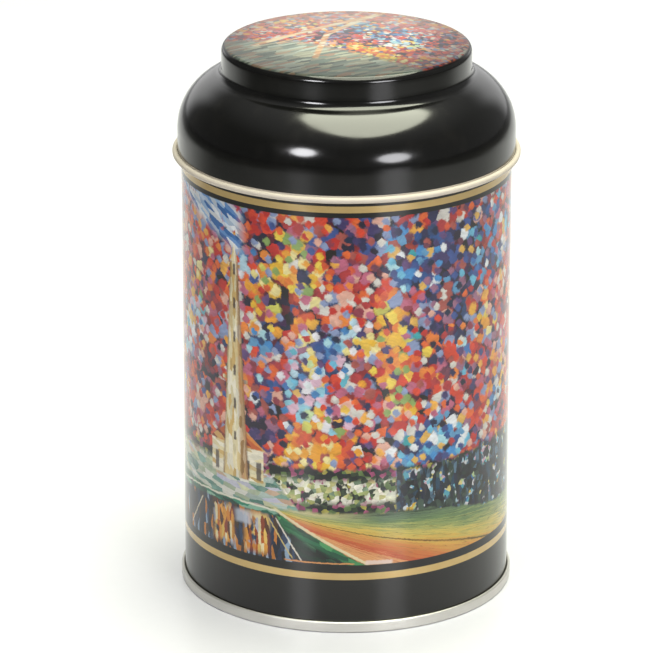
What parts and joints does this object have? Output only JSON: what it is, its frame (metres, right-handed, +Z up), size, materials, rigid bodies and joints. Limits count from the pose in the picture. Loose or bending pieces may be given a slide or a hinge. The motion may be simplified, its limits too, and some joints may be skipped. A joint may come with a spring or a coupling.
{
  "type": "coffee tin",
  "caption": "Round seamed coffee tin with a slip-over domed lid, a raised round top, rolled edges and a knobbed plug lid under it.",
  "frame": {"origin": "centre of the foot ring, on the surface that the tin stands on", "axes": "+Z up along the tin's axis, -Y towards the front of the printed pattern, +Y towards the side seam"},
  "size_m": [0.0896, 0.0895, 0.1454],
  "materials": {
    "body_print": "gloss varnish over a printed multicolour pattern",
    "lid_lacquer": "gloss black lacquer",
    "bare_tinplate": "bright rolled tinplate",
    "compound": "matte sealing compound",
    "gasket": "satin silicone",
    "knob_plastic": "gloss moulded plastic",
    "rivet_metal": "satin",
    "washer_steel": "zinc-plated"
  },
  "bodies": {
    "tin_body": {"body_wall": "body_print", "bottom_end": "bare_tinplate", "seam_compound": "compound"},
    "plug_lid": {"inner_lid": "bare_tinplate", "inner_lid_gasket": "gasket", "inner_lid_knob": "knob_plastic", "knob_rivet": "rivet_metal", "knob_washer": "washer_steel"},
    "slip_lid": {"lid_shell": "lid_lacquer"}
  },
  "joints": [
    {"name": "plug_lid_lift", "type": "slide", "parent": "tin_body", "child": "plug_lid", "axis": [0, 0, 1], "range_m": [0, 0.05]},
    {"name": "slip_lid_lift", "type": "slide", "parent": "plug_lid", "child": "slip_lid", "axis": [0, 0, 1], "range_m": [0, 0.06]}
  ]
}
